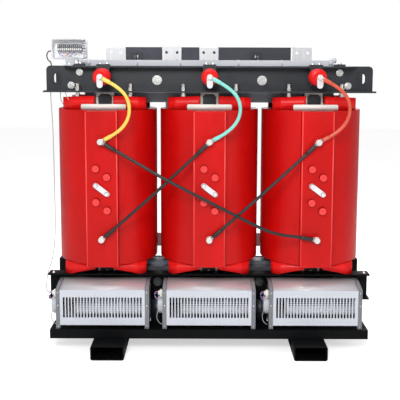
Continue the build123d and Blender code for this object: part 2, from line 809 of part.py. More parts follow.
# Fans --------------------------------------------------------------------------------------------
def fan_housing(x):
    """Folded housing with end plates and ribbed posts, open at the front and at the top outlet."""
    half = fan_length / 2
    top = fan_base_z + fan_height
    floor = fan_base_z + fan_foot
    front = -fan_front_y + fan_sheet
    back = -fan_back_y
    sheet = fan_sheet
    lid_end = -fan_back_y - 40
    shell = block((-half, half), (front, back), (floor, floor + sheet))
    shell += block((-half, half), (back - sheet, back), (floor, top - 10))
    lid = [(front, top - sheet), (front, top), (lid_end, top + 14), (lid_end, top + 14 - sheet)]
    shell += along_x(make_face(Polyline(*lid, close=True)), -half, fan_length)
    lip = [(lid_end - 6, top + 11), (lid_end, top + 11), (lid_end, top - 6), (lid_end - 6, top - 6)]
    shell += along_x(make_face(Polyline(*lip, close=True)), -half, fan_length)
    side = [(front, floor), (back, floor), (back, top - 10), (lid_end, top + 14), (front, top)]
    side_face = make_face(Polyline(*side, close=True))
    for start in (-half, half - 3):
        shell += along_x(side_face, start, 3)
    for side_sign in (-1, 1):
        outer = side_sign * half
        inner = side_sign * (half - fan_post_width)
        post = block((min(outer, inner), max(outer, inner)), (front - sheet, front + fan_post_depth), (fan_base_z, top))
        for groove in (0.3, 0.7):
            groove_x = min(outer, inner) + groove * fan_post_width
            post -= block((groove_x - 1.5, groove_x + 1.5), (front - sheet, front - sheet + 2), (fan_base_z, top))
        shell += post
    bush = along_x(Pos(-impeller_y, impeller_z) * Circle(11), half - bush_length, bush_length)
    shell += bush
    bore = Pos(-impeller_y, impeller_z) * Circle(fan_shaft_radius + shaft_clearance)
    shell -= along_x(bore, half - bush_length - 1, bush_length - 2)
    shell -= along_x(bore, -half - 1, 5)
    return Pos(x, 0, 0) * shell


def fan_grille(x):
    """Slotted front panel between the posts."""
    width = fan_length - 2 * fan_post_width
    height = fan_height - fan_foot
    face = Pos(x, fan_base_z + fan_foot + height / 2) * Rectangle(width, height)
    slot_z = fan_base_z + slot_low + slot_height / 2
    for index in range(slot_count):
        slot_x = x + (index - (slot_count - 1) / 2) * slot_pitch
        face -= Pos(slot_x, slot_z) * Rectangle(slot_width, slot_height)
    return facing_front(face, fan_front_y - fan_sheet, fan_sheet)


def impeller(x):
    """Cross-flow impeller: blades between discs, and its shaft."""
    middle = impeller_radius - blade_depth / 2 - 1
    blade = None
    for index in range(blade_count):
        angle = index * 360 / blade_count
        face = Rot(0, 0, angle) * Pos(middle, 0) * Rot(0, 0, 28) * Rectangle(blade_depth, blade_thickness)
        blade = face if blade is None else blade + face
    axis = Pos(-impeller_y, impeller_z)
    body = along_x(axis * blade, impeller_start, impeller_length)
    pitch = (impeller_length - impeller_disc) / impeller_segments
    for index in range(impeller_segments + 1):
        start = impeller_start + index * pitch
        body += along_x(axis * Circle(impeller_radius), start, impeller_disc)
    shaft_start = -fan_length / 2 - motor_bore_depth + 1
    body += along_x(axis * Circle(fan_shaft_radius), shaft_start, impeller_start - shaft_start)
    shaft_end = fan_length / 2 - 4
    body += along_x(axis * Circle(fan_shaft_radius), impeller_end, shaft_end - impeller_end)
    return Pos(x, 0, 0) * body


def fan_motor(x):
    """Flat motor on the left end plate."""
    start = x - fan_length / 2 - motor_length
    axis = Pos(-impeller_y, impeller_z)
    body = along_x(axis * Circle(motor_radius), start, motor_length)
    body -= along_x(axis * (Circle(motor_radius) - Circle(motor_radius - 5)), start, 6)
    bore = axis * Circle(fan_shaft_radius + shaft_clearance)
    body -= along_x(bore, x - fan_length / 2 - motor_bore_depth, motor_bore_depth)
    return body


# Assembly ------------------------------------------------------------------------------------------
def both_sides(pieces):
    pieces = list(pieces)
    return pieces + [rear(piece) for piece in pieces]


def build_nodes():
    nodes = {}
    upper_bolt_z = stud_places[2][1]
    lower_bolt_z = stud_places[5][1]
    lower = yoke(lower_yoke_z, lower_bolt_z)
    upper = yoke(upper_yoke_z, upper_bolt_z)
    nodes["core_yoke_bottom"] = lower
    nodes["core_yoke_top"] = upper
    nodes["core_limbs"] = group(limb(x, lower, upper) for x in phase_xs)
    nodes["tie_plates"] = group(both_sides(tie_plate(x) for x in phase_xs))
    boards = []
    for z_middle, bolt_z in ((lower_yoke_z, lower_bolt_z), (upper_yoke_z, upper_bolt_z)):
        boards += [yoke_board(span, z_middle, bolt_z) for span in board_spans()]
    nodes["yoke_boards"] = group(both_sides(boards))
    ends = ((lower_clamp_top, hv_bottom - 2), (lv_top + 1, upper_clamp_z - 1))
    nodes["end_boards"] = group(both_sides(end_board(x, ends[level]) for x in phase_xs for level in (0, 1)))
    cap_levels = ((lower_clamp_top, hv_bottom - 14), (upper_clamp_z - 57, upper_clamp_z - 8))
    nodes["tie_plate_caps"] = group(both_sides(tie_cap(x, span) for x in phase_xs for span in cap_levels))

    front_upper = upper_clamp()
    front_lower = lower_clamp()
    nodes["upper_clamp_front"] = front_upper
    nodes["upper_clamp_rear"] = rear(front_upper)
    nodes["lower_clamp_front"] = front_lower
    nodes["lower_clamp_rear"] = rear(front_lower)
    nodes["clamp_studs"] = group(clamp_stud(side * x, z, radius) for x, z, radius in stud_places for side in (-1, 1))
    nodes["cross_ties"] = group(cross_tie(side * cross_tie_x) for side in (-1, 1))
    nodes["foot_left"] = foot(-foot_gauge / 2)
    nodes["foot_right"] = foot(foot_gauge / 2)
    nodes["fan_beam_front"] = fan_beam()
    nodes["fan_beam_rear"] = rear(fan_beam())

    for letter, x in zip("abc", phase_xs):
        nodes["hv_coil_" + letter] = hv_coil(x)
        nodes["lv_coil_" + letter] = lv_coil(x)
    low_blocks = [one for x in phase_xs for one in support_blocks(x, lower_clamp_top, hv_bottom - lower_clamp_top, True)]
    high_blocks = [one for x in phase_xs for one in support_blocks(x, hv_top, coil_pad_height, False)]
    nodes["lower_coil_blocks"] = group(low_blocks)
    nodes["upper_coil_blocks"] = group(high_blocks)
    nodes["spacer_bars"] = group(spacer_bar(x) for x in phase_xs)
    jack_xs = [x + side * jack_offset for x in phase_xs for side in (-1, 1)]
    nodes["jack_bolts"] = group(jack_bolt(x, side * jack_y) for x in jack_xs for side in (-1, 1))

    nodes["hv_insulators"] = group(insulator(x) for x in phase_xs)
    nodes["insulator_brackets"] = group(insulator_bracket(x) for x in phase_xs)
    nodes["terminal_plates"] = group(terminal_plate(x) for x in phase_xs)
    nodes["terminal_bolts"] = group(terminal_bolts())
    nodes["cable_lugs"] = group(cable_lugs())
    nodes["tap_bolts"] = group(tap_bolt(*place) for x in phase_xs for place in tap_places(x))
    nodes["tap_links"] = group(tap_link(x) for x in phase_xs)
    for name, route in phase_routes.items():
        nodes[name] = cord_tube(name, route, phase_lead_diameter)
    for name, route in delta_routes.items():
        nodes[name] = cord_tube(name, route, delta_lead_diameter)

    nodes["lv_bars"] = group(lv_bar(x) for x in phase_xs)
    nodes["neutral_bar"] = neutral_bar()
    nodes["lv_beam"] = lv_beam()
    nodes["lv_beam_arms"] = group(beam_arm(x) for x in beam_arm_xs)

    nodes["box_bracket"] = box_bracket()
    nodes["box_base"] = box_base()
    nodes["box_cover"] = box_shell(box_front, box_split, 2.5, False)
    nodes["terminal_strip"] = terminal_strip()
    nodes["wiring_duct"] = wiring_duct()
    nodes["box_cable"] = cord_tube("box_cable", box_cable_route, box_cable_diameter)

    housings = [fan_housing(x) for x in phase_xs]
    nodes["fan_housings_front"] = group(housings)
    nodes["fan_housings_rear"] = group(rear(piece) for piece in housings)
    nodes["fan_grilles"] = group(both_sides(fan_grille(x) for x in phase_xs))
    nodes["fan_motors"] = group(both_sides(fan_motor(x) for x in phase_xs))
    for letter, x in zip("abc", phase_xs):
        wheel = impeller(x)
        nodes["impeller_front_" + letter] = wheel
        nodes["impeller_rear_" + letter] = rear(wheel)
    return nodes


os.makedirs("parts", exist_ok=True)
for node_name, node_shape in build_nodes().items():
    export_step(node_shape, "parts/" + node_name + ".step")
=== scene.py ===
import json
import math

import bmesh
import bpy
from mathutils import Matrix, Vector


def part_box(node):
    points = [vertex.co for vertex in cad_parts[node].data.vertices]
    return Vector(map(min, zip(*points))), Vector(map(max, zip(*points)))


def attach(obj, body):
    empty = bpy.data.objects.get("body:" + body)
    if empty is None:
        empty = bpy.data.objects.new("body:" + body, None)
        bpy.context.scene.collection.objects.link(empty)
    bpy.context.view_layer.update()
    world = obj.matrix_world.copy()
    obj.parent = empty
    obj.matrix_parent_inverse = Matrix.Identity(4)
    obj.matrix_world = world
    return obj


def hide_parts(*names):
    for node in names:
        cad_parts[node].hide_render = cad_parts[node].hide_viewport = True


# Dry type transformer: finishes, leads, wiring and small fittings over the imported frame.
# Metres, +Z up, front at -Y.

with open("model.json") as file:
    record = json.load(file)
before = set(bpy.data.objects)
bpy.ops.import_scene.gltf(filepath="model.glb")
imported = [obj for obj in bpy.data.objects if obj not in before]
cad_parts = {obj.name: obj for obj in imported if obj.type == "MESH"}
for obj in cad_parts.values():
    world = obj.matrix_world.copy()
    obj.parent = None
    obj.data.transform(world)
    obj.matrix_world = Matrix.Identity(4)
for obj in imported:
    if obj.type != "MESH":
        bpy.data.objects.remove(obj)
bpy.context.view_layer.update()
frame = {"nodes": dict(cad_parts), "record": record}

BODY = "frame"
PITCH = 0.44
PHASES = {"a": -PITCH, "b": 0.0, "c": PITCH}
SIDES = (-1, 1)
FORWARD = (0, -1, 0)
UP = (0, 0, 1)
PROUD = 0.0002

coil_low, coil_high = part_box("hv_coil_a")
COIL_BOTTOM = coil_low[2]
COIL_TOP = coil_high[2]


# Materials ---------------------------------------------------------------------------------------
NOISE_RANGE = (0.3, 0.7)
RELIEF_DEPTH = 0.0006


def object_coords(tree):
    return tree.nodes.new("ShaderNodeTexCoord").outputs["Object"]


def node_material(name):
    """New material with its tree, its shader and its object coordinates."""
    material = bpy.data.materials.new(name)
    material.use_nodes = True
    tree = material.node_tree
    return material, tree, tree.nodes["Principled BSDF"], object_coords(tree)


def scaled_coords(tree, coords, stretch):
    """Coordinates stretched along the axes, for brushed and drawn surfaces."""
    mapping = tree.nodes.new("ShaderNodeMapping")
    mapping.inputs["Scale"].default_value = stretch
    tree.links.new(coords, mapping.inputs["Vector"])
    return mapping.outputs["Vector"]


def position(tree):
    """X, Y and Z of the shaded point."""
    axes = tree.nodes.new("ShaderNodeSeparateXYZ")
    tree.links.new(object_coords(tree), axes.inputs["Vector"])
    return axes.outputs


def maths(tree, operation, first, second=0.0):
    """Math node on a socket and on a second socket or number."""
    node = tree.nodes.new("ShaderNodeMath")
    node.operation = operation
    tree.links.new(first, node.inputs[0])
    if isinstance(second, float):
        node.inputs[1].default_value = second
    else:
        tree.links.new(second, node.inputs[1])
    return node.outputs[0]


def noise(tree, vector, scale, detail=4.0):
    node = tree.nodes.new("ShaderNodeTexNoise")
    node.inputs["Scale"].default_value = scale
    node.inputs["Detail"].default_value = detail
    tree.links.new(vector, node.inputs["Vector"])
    return node.outputs["Fac"]


def ranged(tree, value, low, high, source=NOISE_RANGE):
    """A value's source range mapped to low and high, and held there beyond it."""
    node = tree.nodes.new("ShaderNodeMapRange")
    node.inputs["From Min"].default_value, node.inputs["From Max"].default_value = source
    node.inputs["To Min"].default_value = low
    node.inputs["To Max"].default_value = high
    tree.links.new(value, node.inputs["Value"])
    return node.outputs["Result"]


def mixed(tree, factor, first, second):
    """Blend of two colours, each an RGB triple or a socket."""
    node = tree.nodes.new("ShaderNodeMix")
    node.data_type = "RGBA"
    tree.links.new(factor, node.inputs["Factor"])
    for name, colour in (("A", first), ("B", second)):
        if isinstance(colour, tuple):
            node.inputs[name].default_value = (*colour, 1)
        else:
            tree.links.new(colour, node.inputs[name])
    return node.outputs["Result"]


def scaled_colour(colour, share):
    return tuple(min(1.0, channel * share) for channel in colour)


def bumped(tree, shader, height, strength, distance):
    node = tree.nodes.new("ShaderNodeBump")
    node.inputs["Strength"].default_value = strength
    node.inputs["Distance"].default_value = distance
    tree.links.new(height, node.inputs["Height"])
    tree.links.new(node.outputs["Normal"], shader.inputs["Normal"])


def surface(name, colour, roughness, metallic=0.0, mottle=0.1, mottle_scale=7.0, bump=0.08, bump_scale=220.0,
            stretch=(1, 1, 1), specular=0.5):
    """Procedural finish: soft colour drift, uneven gloss and a fine relief."""
    material, tree, shader, coords = node_material(name)
    vector = scaled_coords(tree, coords, stretch)
    drift = ranged(tree, noise(tree, vector, mottle_scale), 0, 1)
    shade = mixed(tree, drift, scaled_colour(colour, 1 - mottle), scaled_colour(colour, 1 + mottle))
    tree.links.new(shade, shader.inputs["Base Color"])
    wear = noise(tree, vector, mottle_scale * 5)
    gloss = ranged(tree, wear, roughness * 0.82, min(1.0, roughness * 1.25))
    tree.links.new(gloss, shader.inputs["Roughness"])
    bumped(tree, shader, noise(tree, vector, bump_scale, 3.0), bump, RELIEF_DEPTH)
    shader.inputs["Metallic"].default_value = metallic
    shader.inputs["Specular IOR Level"].default_value = specular
    return material


def parts_of(material):
    """Tree and shader of a finished material, and the socket that colours it."""
    tree = material.node_tree
    shader = tree.nodes["Principled BSDF"]
    return tree, shader, shader.inputs["Base Color"].links[0].from_socket


def cast_resin(name, colour, end_colour, specular):
    """Cast coil: deep red flow marks, faint casting waves, and darker cloth on its two ends."""
    material, tree, shader, coords = node_material(name)
    flow = noise(tree, scaled_coords(tree, coords, (1, 1, 0.35)), 5.0)
    body = mixed(tree, ranged(tree, flow, 0, 1), scaled_colour(colour, 0.82), scaled_colour(colour, 1.14))
    threads = ranged(tree, noise(tree, coords, 90.0), 0, 1)
    weave = mixed(tree, threads, scaled_colour(end_colour, 0.85), end_colour)
    height = maths(tree, "SUBTRACT", position(tree)["Z"], (COIL_BOTTOM + COIL_TOP) / 2)
    from_middle = maths(tree, "ABSOLUTE", height)
    on_end = maths(tree, "GREATER_THAN", from_middle, (COIL_TOP - COIL_BOTTOM) / 2 - 0.0006)
    tree.links.new(mixed(tree, on_end, body, weave), shader.inputs["Base Color"])
    tree.links.new(ranged(tree, noise(tree, coords, 24.0), 0.3, 0.42), shader.inputs["Roughness"])
    waves = noise(tree, scaled_coords(tree, coords, (1, 1, 0.3)), 14.0, 2.0)
    bumped(tree, shader, waves, 0.12, 0.003)
    shader.inputs["Specular IOR Level"].default_value = specular
    return material


def laminated(name, colour):
    """Varnished core steel with fine lamination lines across its depth."""
    material, tree, shader, coords = node_material(name)
    wave = tree.nodes.new("ShaderNodeTexWave")
    wave.bands_direction = "Y"
    wave.inputs["Scale"].default_value = 160.0
    wave.inputs["Distortion"].default_value = 0.6
    tree.links.new(coords, wave.inputs["Vector"])
    lines = wave.outputs["Fac"]
    tree.links.new(mixed(tree, lines, scaled_colour(colour, 0.7), colour), shader.inputs["Base Color"])
    tree.links.new(ranged(tree, noise(tree, coords, 30.0), 0.3, 0.5), shader.inputs["Roughness"])
    bumped(tree, shader, lines, 0.3, 0.0005)
    shader.inputs["Metallic"].default_value = 0.7
    return material


def clear_cover(name):
    """Clear moulded plastic with faint scuffs."""
    material, tree, shader, coords = node_material(name)
    scuffs = noise(tree, scaled_coords(tree, coords, (1, 1, 5)), 60.0)
    tree.links.new(mixed(tree, scuffs, (0.93, 0.95, 0.96), (1.0, 1.0, 1.0)), shader.inputs["Base Color"])
    tree.links.new(ranged(tree, scuffs, 0.04, 0.14), shader.inputs["Roughness"])
    shader.inputs["IOR"].default_value = 1.46
    shader.inputs["Alpha"].default_value = 0.02
    return material


HOUSING_HALF = 0.1889
HOUSING_BACK_Y = 0.1645
HOUSING_LOW_Z = 0.1155
HOUSING_HIGH_Z = 0.2595


def inner_shade(material, front_y):
    """Painted shade on a fan finish: near-black and without specular inside the housings, from their back
    sheet to a depth at the front.
    """
    tree, shader, outer_colour = parts_of(material)
    axes = position(tree)
    depth = maths(tree, "ABSOLUTE", axes["Y"])
    along = maths(tree, "MODULO", maths(tree, "ADD", axes["X"], 10.5 * PITCH), PITCH)
    across = maths(tree, "ABSOLUTE", maths(tree, "SUBTRACT", along, PITCH / 2))
    inside = maths(tree, "LESS_THAN", across, HOUSING_HALF)
    limits = (
        ("LESS_THAN", depth, front_y),
        ("GREATER_THAN", depth, HOUSING_BACK_Y),
        ("GREATER_THAN", axes["Z"], HOUSING_LOW_Z),
        ("LESS_THAN", axes["Z"], HOUSING_HIGH_Z),
    )
    for comparison, measure, limit in limits:
        inside = maths(tree, "MULTIPLY", inside, maths(tree, comparison, measure, limit))
    # The near-black inside the housings is painted shade.
    tree.links.new(mixed(tree, inside, outer_colour, (0.006, 0.006, 0.007)), shader.inputs["Base Color"])
    sheen = ranged(tree, inside, 0.35, 0.0, (0, 1))
    tree.links.new(sheen, shader.inputs["Specular IOR Level"])
    return material


def clamp_hardware(name):
    """Bright hardware on the upper clamps, darkened hardware on the lower ones."""
    material = surface(name, (0.80, 0.80, 0.78), 0.26, metallic=0.9, mottle_scale=60, bump=0.1)
    tree, shader, bright = parts_of(material)
    upper = ranged(tree, position(tree)["Z"], 0, 1, (0.5, 0.6))
    tree.links.new(mixed(tree, upper, (0.055, 0.062, 0.06), bright), shader.inputs["Base Color"])
    return material


FINISHES = {
    "black_paint": surface("black paint", (0.011, 0.0145, 0.020), 0.4, mottle=0.18, bump=0.12,
                           bump_scale=420),
    "core_steel": laminated("core laminations", (0.20, 0.21, 0.24)),
    "coil_resin": cast_resin("red cast resin", (0.54, 0.003, 0.0025), (0.36, 0.005, 0.004), 0.22),
    "lv_resin": surface("cream resin", (0.68, 0.56, 0.38), 0.45, mottle=0.12, mottle_scale=30, bump=0.2,
                        bump_scale=300),
    "block_red": surface("red moulded resin", (0.70, 0.008, 0.008), 0.34, mottle=0.08, mottle_scale=12,
                         bump=0.05, specular=0.22),
    "white_board": surface("white board", (0.84, 0.84, 0.80), 0.5, mottle=0.05, mottle_scale=20, bump=0.1),
    "zinc": surface("bright zinc", (0.80, 0.80, 0.78), 0.24, metallic=1.0, mottle_scale=60, bump=0.1),
    "fan_aluminium": surface("satin aluminium", (0.80, 0.81, 0.84), 0.36, metallic=0.65, mottle=0.05,
                             mottle_scale=4, bump=0.1, bump_scale=60, stretch=(1, 14, 14)),
    "bar_aluminium": surface("tinned bar", (0.68, 0.69, 0.71), 0.36, metallic=0.3, mottle=0.05,
                             mottle_scale=8, bump_scale=50, stretch=(10, 10, 1)),
    "yellow_sleeve": surface("yellow sleeve", (0.86, 0.60, 0.10), 0.34, mottle=0.06, mottle_scale=25),
    "green_sleeve": surface("mint sleeve", (0.22, 0.66, 0.58), 0.34, mottle=0.06, mottle_scale=25),
    "red_sleeve": surface("orange red sleeve", (0.62, 0.085, 0.045), 0.34, mottle=0.06, mottle_scale=25),
    "black_cable": surface("black cable", (0.016, 0.016, 0.017), 0.42, mottle=0.2, mottle_scale=40,
                           bump=0.15),
    "box_white": surface("pale grey box", (0.90, 0.91, 0.93), 0.38, mottle=0.03, mottle_scale=15),
    "box_clear": clear_cover("clear cover"),
    "strip_dark": surface("terminal blocks", (0.10, 0.10, 0.12), 0.45, mottle_scale=40, bump=0.1),
    "duct_grey": surface("light grey duct", (0.50, 0.52, 0.56), 0.42, mottle=0.04, mottle_scale=10),
}
# A darker copy of the black paint with little specular: painted shade on the feet, fan beams and lower
# clamps.
SHADED_BLACK = surface("shaded black paint", (0.003, 0.0035, 0.004), 0.5, mottle=0.15, bump=0.1, bump_scale=420,
                     specular=0.1)
# Fan extrusion and panel finishes, with painted shade inside the housings.
POST = inner_shade(
    surface("grey extrusion", (0.21, 0.22, 0.24), 0.4, mottle=0.05, mottle_scale=4, bump=0.1, bump_scale=60),
    0.2655)
PANEL = inner_shade(
    surface("satin panel", (0.57, 0.60, 0.66), 0.4, mottle=0.03, mottle_scale=4, bump=0.1, bump_scale=60),
    0.2662)
LID = surface("bright lid", (0.72, 0.70, 0.73), 0.36, metallic=0.45, mottle=0.03, mottle_scale=4, bump=0.03,
              bump_scale=60, stretch=(1, 14, 14))
ROTOR = surface("bright blades", (0.86, 0.88, 0.94), 0.45, mottle=0.03, mottle_scale=4, bump=0.1,
                bump_scale=60)
# Dark red of the tap collars: painted shade round the tap faces.
COLLAR_SHADE = surface("shaded resin", (0.30, 0.002, 0.002), 0.5, mottle=0.06, mottle_scale=20, bump=0.05,
                 specular=0.1)
# Red of the tap caps; down the pad edges the same lighter red is a painted highlight.
CAP_RED_AND_EDGE_HIGHLIGHT = surface("red caps", (0.86, 0.050, 0.045), 0.34, mottle=0.06, mottle_scale=20, bump=0.05)
LINK_WHITE = surface("white link", (0.74, 0.74, 0.77), 0.4, mottle=0.04, mottle_scale=20, bump=0.05)
PLATED = surface("plated bolts", (0.70, 0.69, 0.67), 0.35, metallic=0.3, mottle=0.05, mottle_scale=50)
NODE_FINISHES = {
    "foot_left": SHADED_BLACK,
    "foot_right": SHADED_BLACK,
    "fan_beam_front": SHADED_BLACK,
    "fan_beam_rear": SHADED_BLACK,
    "lower_clamp_front": SHADED_BLACK,
    "lower_clamp_rear": SHADED_BLACK,
    "lv_beam": surface("grey beam", (0.034, 0.037, 0.052), 0.42, metallic=0.2, mottle=0.15, mottle_scale=9,
                       bump=0.1),
    "tap_links": LINK_WHITE,
    "terminal_bolts": PLATED,
    "fan_housings_front": POST,
    "fan_housings_rear": POST,
    "fan_grilles": PANEL,
    "clamp_studs": clamp_hardware("clamp hardware"),
}
WIRES = {
    "red": surface("red wire", (0.60, 0.03, 0.03), 0.4, mottle=0.05),
    "blue": surface("blue wire", (0.05, 0.16, 0.55), 0.4, mottle=0.05),
    "pink": surface("pink wire", (0.78, 0.30, 0.42), 0.4, mottle=0.05),
    "grey": surface("grey wire", (0.42, 0.42, 0.42), 0.4, mottle=0.05),
}


def dress_frame():
    """Every CAD node takes its own finish, or that of its record slot."""
    for subpart in frame["record"]["subparts"]:
        node = frame["nodes"][subpart["node"]]
        finish = NODE_FINISHES.get(subpart["node"], FINISHES[subpart["material_slot"]])
        for material_slot in node.material_slots:
            material_slot.material = finish


# Mesh helpers ------------------------------------------------------------------------------------
def towards(direction):
    """Rotation that turns +Z to a direction."""
    return Vector(direction).to_track_quat("Z", "Y").to_matrix().to_4x4()


class Fittings:
    """Small turned, folded and moulded fittings gathered into one mesh."""

    def __init__(self):
        self.mesh = bmesh.new()

    def skin(self, rings):
        """Walls between rings of points, closed by a face at either end."""
        rings = [[self.mesh.verts.new(point) for point in ring] for ring in rings]
        count = len(rings[0])
        for lower, upper in zip(rings, rings[1:]):
            for step in range(count):
                after = (step + 1) % count
                self.mesh.faces.new((lower[step], lower[after], upper[after], upper[step]))
        self.mesh.faces.new(list(reversed(rings[0])))
        self.mesh.faces.new(rings[-1])

    def turned(self, origin, direction, profile, sides=24):
        """A revolved form: profile holds (distance along the direction, radius)."""
        place = Matrix.Translation(Vector(origin)) @ towards(direction)
        angles = [2 * math.pi * step / sides for step in range(sides)]
        self.skin([
            [place @ Vector((radius * math.cos(angle), radius * math.sin(angle), height)) for angle in angles]
            for height, radius in profile
        ])

    def prism(self, outline, low_x, high_x):
        """A bar along X with an outline in Y and Z."""
        self.skin([[(x, y, z) for y, z in outline] for x in (low_x, high_x)])

    def block(self, centre, size, bevel):
        """A moulded block with rounded edges."""
        made = bmesh.ops.create_cube(self.mesh, size=1.0)
        bmesh.ops.scale(self.mesh, vec=Vector(size), verts=made["verts"])
        bmesh.ops.translate(self.mesh, vec=Vector(centre), verts=made["verts"])
        edges = {edge for vert in made["verts"] for edge in vert.link_edges}
        bmesh.ops.bevel(self.mesh, geom=list(edges), offset=bevel, segments=2, affect="EDGES")

    def done(self, name, material, slot, body=BODY):
        """The piece itself, riding on its body. Four-sided faces are shaded smooth."""
        bmesh.ops.recalc_face_normals(self.mesh, faces=self.mesh.faces)
        data = bpy.data.meshes.new(name)
        self.mesh.to_mesh(data)
        self.mesh.free()
        piece = bpy.data.objects.new(name, data)
        bpy.context.collection.objects.link(piece)
        data.materials.append(material)
        for polygon in data.polygons:
            polygon.use_smooth = len(polygon.vertices) == 4
        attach(piece, body)
        return piece


def pan_head(radius, height):
    """Profile of a domed screw head on a washer."""
    washer = radius * 1.35
    return [(0, washer), (height * 0.25, washer), (height * 0.25, radius), (height * 0.8, radius * 0.92),
            (height, radius * 0.6)]


def facing(outline, front):
    """An outline in Y and Z, turned to the front (-1) or the rear (1)."""
    return [(front * y, z) for y, z in outline]


# Leads and wires ---------------------------------------------------------------------------------
def spline_curve(name, points, diameter):
    """Smooth NURBS tube that follows its control points, and the length of its middle line."""
    data = bpy.data.curves.new(name, "CURVE")
    data.dimensions = "3D"
    data.resolution_u = 16
    spline = data.splines.new("NURBS")
    spline.points.add(len(points) - 1)
    for target, point in zip(spline.points, points):
        target.co = (*point, 1)
    spline.order_u = 3
    spline.use_endpoint_u = True
    piece = bpy.data.objects.new(name, data)
    bpy.context.collection.objects.link(piece)
    bpy.context.view_layer.update()
    line = bpy.data.meshes.new_from_object(piece.evaluated_get(bpy.context.evaluated_depsgraph_get()))
    places = [vertex.co for vertex in line.vertices]
    length = sum((places[first] - places[last]).length for first, last in (e.vertices for e in line.edges))
    bpy.data.meshes.remove(line)
    data.bevel_depth = diameter / 2
    data.bevel_resolution = 6
    data.use_fill_caps = True
    return piece, length


def lead(name, points, diameter, material, replaces=None):
    """A cord from its exit to where it goes back into the object."""
    piece, length = spline_curve(name, points, diameter)
    piece.data.materials.append(material)
    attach(piece, BODY)
    if replaces:
        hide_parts(replaces)


HV_PAD_Y = 0.243
BOSS_Y = HV_PAD_Y + 0.008
INSULATOR_Y = -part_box("terminal_plates")[0][1]
INSULATOR_Z = 1.134
TOP_TERMINAL_Z = 0.874
BOTTOM_TERMINAL_Z = 0.472
LUG = 0.003
LUG_REACH = 0.036
PHASE_LEAD = 0.014
DELTA_LEAD = 0.013
BOX_CABLE = 0.005
BULGES = {"a": 0.118, "b": 0.122, "c": 0.120}
SLEEVES = {"a": "yellow_sleeve", "b": "green_sleeve", "c": "red_sleeve"}
TOP_SLEEVE_REACH = 0.022
LOW_SLEEVE_REACH = 0.019


def lead_y(seat_y, diameter):
    return -(seat_y + diameter / 2 + 0.001)


def mouth(bolt, target):
    """Where a lead leaves its lug, on the line from the bolt to the next point."""
    run = math.hypot(target[0] - bolt[0], target[2] - bolt[1])
    step = LUG_REACH / run
    return (bolt[0] + (target[0] - bolt[0]) * step, target[1], bolt[1] + (target[2] - bolt[1]) * step)


def lead_route(start_bolt, points, end_bolt):
    return [mouth(start_bolt, points[0]), *points, mouth(end_bolt, points[-1])]


def phase_route(x, bulge):
    high_y = lead_y(INSULATOR_Y, PHASE_LEAD)
    low_y = lead_y(BOSS_Y, PHASE_LEAD)
    points = [
        (x + 0.082, high_y, INSULATOR_Z - 0.0436),
        (x + bulge, high_y + 0.001, INSULATOR_Z - 0.094),
        (x + bulge, low_y - 0.005, TOP_TERMINAL_Z + 0.098),
        (x + 0.078, low_y, TOP_TERMINAL_Z + 0.0415),
    ]
    return lead_route((x, INSULATOR_Z), points, (x, TOP_TERMINAL_Z))


def delta_routes():
    """Routes of the delta leads, by the last letters of their names: top terminal, then bottom terminal."""
    y = lead_y(BOSS_Y + LUG, DELTA_LEAD)
    crossing = [
        (-0.330, y, 0.810),
        (-0.176, y - 0.019, 0.722),
        (0.060, y - 0.019, 0.602),
        (0.215, y - 0.013, 0.520),
        (0.290, y - 0.002, 0.494),
        (0.350, y, 0.488),
    ]
    plans = {"ac": crossing, "ba": [(-0.216, y, 0.665)], "cb": [(0.224, y, 0.665)]}
    return {
        ends: lead_route((PHASES[ends[0]], TOP_TERMINAL_Z), points, (PHASES[ends[1]], BOTTOM_TERMINAL_Z))
        for ends, points in plans.items()
    }


def sleeve(fittings, end, inner, reach, profile):
    """A sleeve turned round a lead, from a reach beyond the lead's end."""
    along = (Vector(inner) - Vector(end)).normalized()
    fittings.turned(Vector(end) - along * reach, along, profile)


def phase_leads():
    """Coloured loops from the insulators to the coils, with a sleeve of the same colour at either end."""
    radius = PHASE_LEAD / 2
    for letter, x in PHASES.items():
        slot = SLEEVES[letter]
        finish = FINISHES[slot]
        points = phase_route(x, BULGES[letter])
        lead("phase_cord_" + letter, points, PHASE_LEAD, finish, replaces="phase_lead_" + letter)
        sleeves = Fittings()
        ends = ((points[0], points[1], TOP_SLEEVE_REACH), (points[-1], points[-2], LOW_SLEEVE_REACH))
        for end, inner, reach in ends:
            profile = [(0, radius + 0.0006), (0.002, radius + 0.0014), (reach + 0.006, radius + 0.0014),
                       (reach + 0.014, radius + 0.0004)]
            sleeve(sleeves, end, inner, reach, profile)
        sleeves.done("phase_sleeves_" + letter, finish, slot)


def delta_leads():
    """Black leads between the coils, with shrink sleeves at their ends."""
    finish = FINISHES["black_cable"]
    radius = DELTA_LEAD / 2
    profile = [(0, radius + 0.0014), (0.002, radius + 0.0018), (0.040, radius + 0.0018),
               (0.052, radius + 0.0006)]
    shrink = Fittings()
    for ends, points in delta_routes().items():
        lead("delta_cord_" + ends, points, DELTA_LEAD, finish,
             "delta_lead_" + ends)
        for end, inner in ((points[0], points[1]), (points[-1], points[-2])):
            sleeve(shrink, end, inner, LOW_SLEEVE_REACH, profile)
    shrink.done("shrink_sleeves", finish, "black_cable")


def box_cable():
    """Cable from the side of the junction box down to the top edge of the clamp."""
    x, y, z = -0.668, -0.072, 1.240
    web_y = -0.1015
    route = [
        (x, y, z),
        (x - 0.011, y, z),
        (x - 0.018, y - 0.002, z - 0.009),
        (x - 0.019, y - 0.008, z - 0.024),
        (x - 0.010, y - 0.020, z - 0.040),
        (x + 0.004, web_y, 1.193),
        (x + 0.004, web_y, 1.179),
    ]
    lead("box_cord", route, BOX_CABLE, FINISHES["black_cable"], replaces="box_cable")


# Fan fittings ------------------------------------------------------------------------------------
FAN_HALF = 0.192
FAN_FACE_Y = 0.268
FAN_BASE_Z = 0.098
FAN_AXIS_Y = 0.215
FAN_AXIS_Z = 0.188
POST_SCREW_INSET = 0.0085
POST_SCREW_RISES = (0.010, 0.098, 0.152)
MOTOR_BOLT_REACH = 0.015
MOTOR_BOLT_CIRCLE = 0.036
PLUG_Y = 0.238
